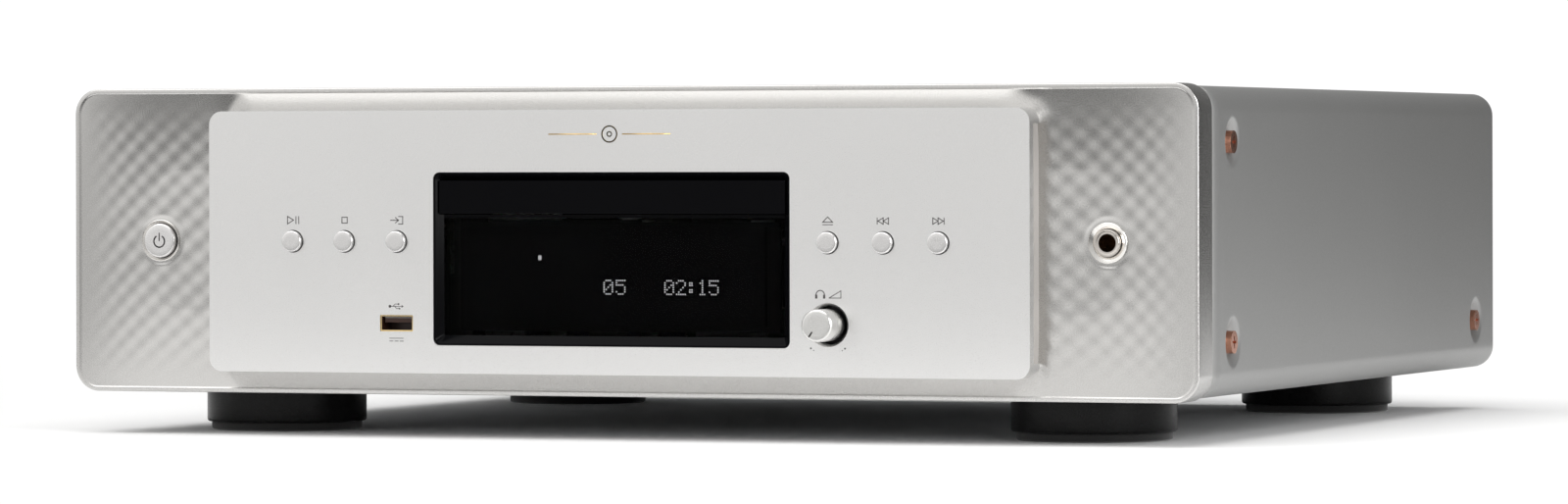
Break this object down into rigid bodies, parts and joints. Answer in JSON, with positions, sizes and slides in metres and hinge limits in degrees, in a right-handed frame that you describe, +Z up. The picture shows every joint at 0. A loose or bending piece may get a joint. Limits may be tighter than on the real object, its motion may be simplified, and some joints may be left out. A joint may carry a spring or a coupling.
{
  "type": "cd player",
  "caption": "Full-width compact disc player on round feet, with a dished front, raised control plate, disc tray over a display window, push buttons, level knob and sockets.",
  "frame": {"origin": "bottom centre of the bounding box, on the plane the feet rest on", "axes": "+X to the right seen from the front, -Y towards the front, +Z up"},
  "size_m": [0.442, 0.432, 0.129],
  "materials": {
    "front_frame_finish": "fine metallic paint, patterned wings",
    "plate_finish": "bead-blasted, anodised silver",
    "light_guide_plastic": "frosted clear plastic",
    "window_black": "gloss black",
    "display_glass": "smoked",
    "display_panel": "dark display glass",
    "button_metal": "satin anodised",
    "trim_ring_metal": "bright turned edge",
    "socket_metal": "plated",
    "knob_metal": "satin turned",
    "steel_shaft": "ground",
    "black_plastic": "moulded",
    "tray_plastic": "moulded",
    "gear_plastic": "natural acetal",
    "circuit_board": "green solder mask",
    "capacitor_sleeve": "sleeved",
    "cover_paint": "fine textured metallic grey",
    "chassis_steel": "zinc plated",
    "rear_paint": "matt black",
    "foot_plastic": "satin black",
    "foot_felt": "black felt",
    "copper_screw": "copper plated",
    "black_screw": "black passivated",
    "motor_can": "plated can",
    "lens_glass": "coated",
    "belt_rubber": "smooth",
    "cable_sleeve": "grey ribbon",
    "phono_metal": "gold plated"
  },
  "bodies": {
    "player": {"front_frame": "front_frame_finish", "front_plate": "plate_finish", "light_guides": "light_guide_plastic", "window_bezel": "window_black", "display_lens": "display_glass", "display_module": "display_panel", "power_ring": "trim_ring_metal", "phones_ring": "trim_ring_metal", "phones_socket": "socket_metal", "usb_port": "socket_metal", "level_pot": "black_plastic", "power_switch": "black_plastic", "loader_base": "black_plastic", "optical_socket": "black_plastic", "switch_housing": "black_plastic", "minijacks": "black_plastic", "mains_inlet": "black_plastic", "front_board": "circuit_board", "phones_board": "circuit_board", "power_board": "circuit_board", "audio_board": "circuit_board", "capacitors": "capacitor_sleeve", "cover": "cover_paint", "bottom_chassis": "chassis_steel", "rear_panel": "rear_paint", "feet": "foot_plastic", "foot_pads": "foot_felt", "side_screws": "copper_screw", "rear_screws": "black_screw", "foot_screws": "black_screw", "loading_motor": "motor_can", "transformer": "motor_can", "drive_belt": "belt_rubber", "ribbon_cables": "cable_sleeve", "phono_sockets": "phono_metal"},
    "tray": {"tray": "tray_plastic", "tray_door": "window_black"},
    "tray_gear": {"tray_gear": "gear_plastic"},
    "motor_pulley": {"motor_pulley": "gear_plastic"},
    "traverse": {"traverse_plate": "chassis_steel", "guide_rods": "steel_shaft", "spindle_motor": "motor_can", "sled_motor": "motor_can"},
    "turntable": {"turntable": "black_plastic"},
    "pickup": {"pickup_sled": "black_plastic", "pickup_lens": "lens_glass"},
    "lead_screw": {"lead_screw": "steel_shaft"},
    "clamp_arm": {"clamp_arm": "black_plastic"},
    "clamp_puck": {"clamp_puck": "black_plastic"},
    "power_button": {"power_button": "button_metal"},
    "level_knob": {"level_knob": "knob_metal", "pot_shaft": "steel_shaft"},
    "optical_flap": {"optical_flap": "black_plastic"},
    "remote_switch": {"remote_switch": "black_plastic"},
    "play_button": {"play_button": "button_metal"},
    "stop_button": {"stop_button": "button_metal"},
    "input_button": {"input_button": "button_metal"},
    "eject_button": {"eject_button": "button_metal"},
    "previous_button": {"previous_button": "button_metal"},
    "next_button": {"next_button": "button_metal"}
  },
  "joints": [
    {"name": "tray_slide", "type": "slide", "parent": "player", "child": "tray", "axis": [0, -1, 0], "range_m": [0, 0.135]},
    {"name": "tray_gear_spin", "type": "hinge", "parent": "player", "child": "tray_gear", "pos_m": [-0.047, -0.17, 0.08], "axis": [0, 0, 1], "range_deg": [0, 646]},
    {"name": "motor_pulley_spin", "type": "hinge", "parent": "player", "child": "motor_pulley", "pos_m": [-0.005, -0.172, 0.08], "axis": [0, 0, 1], "range_deg": [0, 2330]},
    {"name": "traverse_tilt", "type": "hinge", "parent": "player", "child": "traverse", "pos_m": [0, -0.028, 0.07075], "axis": [1, 0, 0], "range_deg": [0, 5]},
    {"name": "turntable_spin", "type": "hinge", "parent": "traverse", "child": "turntable", "pos_m": [0, -0.1334, 0.085], "axis": [0, 0, -1], "continuous": true},
    {"name": "pickup_slide", "type": "slide", "parent": "traverse", "child": "pickup", "axis": [0, 1, 0], "range_m": [0, 0.03]},
    {"name": "lead_screw_turn", "type": "hinge", "parent": "traverse", "child": "lead_screw", "pos_m": [-0.02, -0.0834, 0.0765], "axis": [0, 1, 0], "range_deg": [0, 3605]},
    {"name": "clamp_lift", "type": "hinge", "parent": "player", "child": "clamp_arm", "pos_m": [0, -0.024, 0.0992], "axis": [-1, 0, 0], "range_deg": [0, 4]},
    {"name": "clamp_spin", "type": "hinge", "parent": "clamp_arm", "child": "clamp_puck", "pos_m": [0, -0.1334, 0.095], "axis": [0, 0, -1], "continuous": true},
    {"name": "power_press", "type": "slide", "parent": "player", "child": "power_button", "axis": [0, 1, 0], "range_m": [0, 0.0015], "stiffness_N_per_m": 400},
    {"name": "level_turn", "type": "hinge", "parent": "player", "child": "level_knob", "pos_m": [0.0846, -0.204, 0.0428], "axis": [0, 1, 0], "range_deg": [0, 300]},
    {"name": "optical_flap_swing", "type": "hinge", "parent": "player", "child": "optical_flap", "pos_m": [-0.07, 0.2069, 0.076], "axis": [-1, 0, 0], "range_deg": [0, 80], "stiffness_Nm_per_rad": 0.0005, "springref_deg": -17.19},
    {"name": "remote_switch_slide", "type": "slide", "parent": "player", "child": "remote_switch", "axis": [1, 0, 0], "range_m": [0, 0.002]},
    {"name": "play_press", "type": "slide", "parent": "player", "child": "play_button", "axis": [0, 1, 0], "range_m": [0, 0.0008], "stiffness_N_per_m": 300},
    {"name": "stop_press", "type": "slide", "parent": "player", "child": "stop_button", "axis": [0, 1, 0], "range_m": [0, 0.0008], "stiffness_N_per_m": 300},
    {"name": "input_press", "type": "slide", "parent": "player", "child": "input_button", "axis": [0, 1, 0], "range_m": [0, 0.0008], "stiffness_N_per_m": 300},
    {"name": "eject_press", "type": "slide", "parent": "player", "child": "eject_button", "axis": [0, 1, 0], "range_m": [0, 0.0008], "stiffness_N_per_m": 300},
    {"name": "previous_press", "type": "slide", "parent": "player", "child": "previous_button", "axis": [0, 1, 0], "range_m": [0, 0.0008], "stiffness_N_per_m": 300},
    {"name": "next_press", "type": "slide", "parent": "player", "child": "next_button", "axis": [0, 1, 0], "range_m": [0, 0.0008], "stiffness_N_per_m": 300}
  ],
  "couplings": [
    {"joint": "tray_gear_spin", "follows": "tray_slide", "rad_per_m": 83.333},
    {"joint": "motor_pulley_spin", "follows": "tray_slide", "rad_per_m": 299.78},
    {"joint": "lead_screw_turn", "follows": "pickup_slide", "rad_per_m": 2094.4},
    {"joint": "clamp_spin", "follows": "turntable_spin", "ratio": 1}
  ]
}
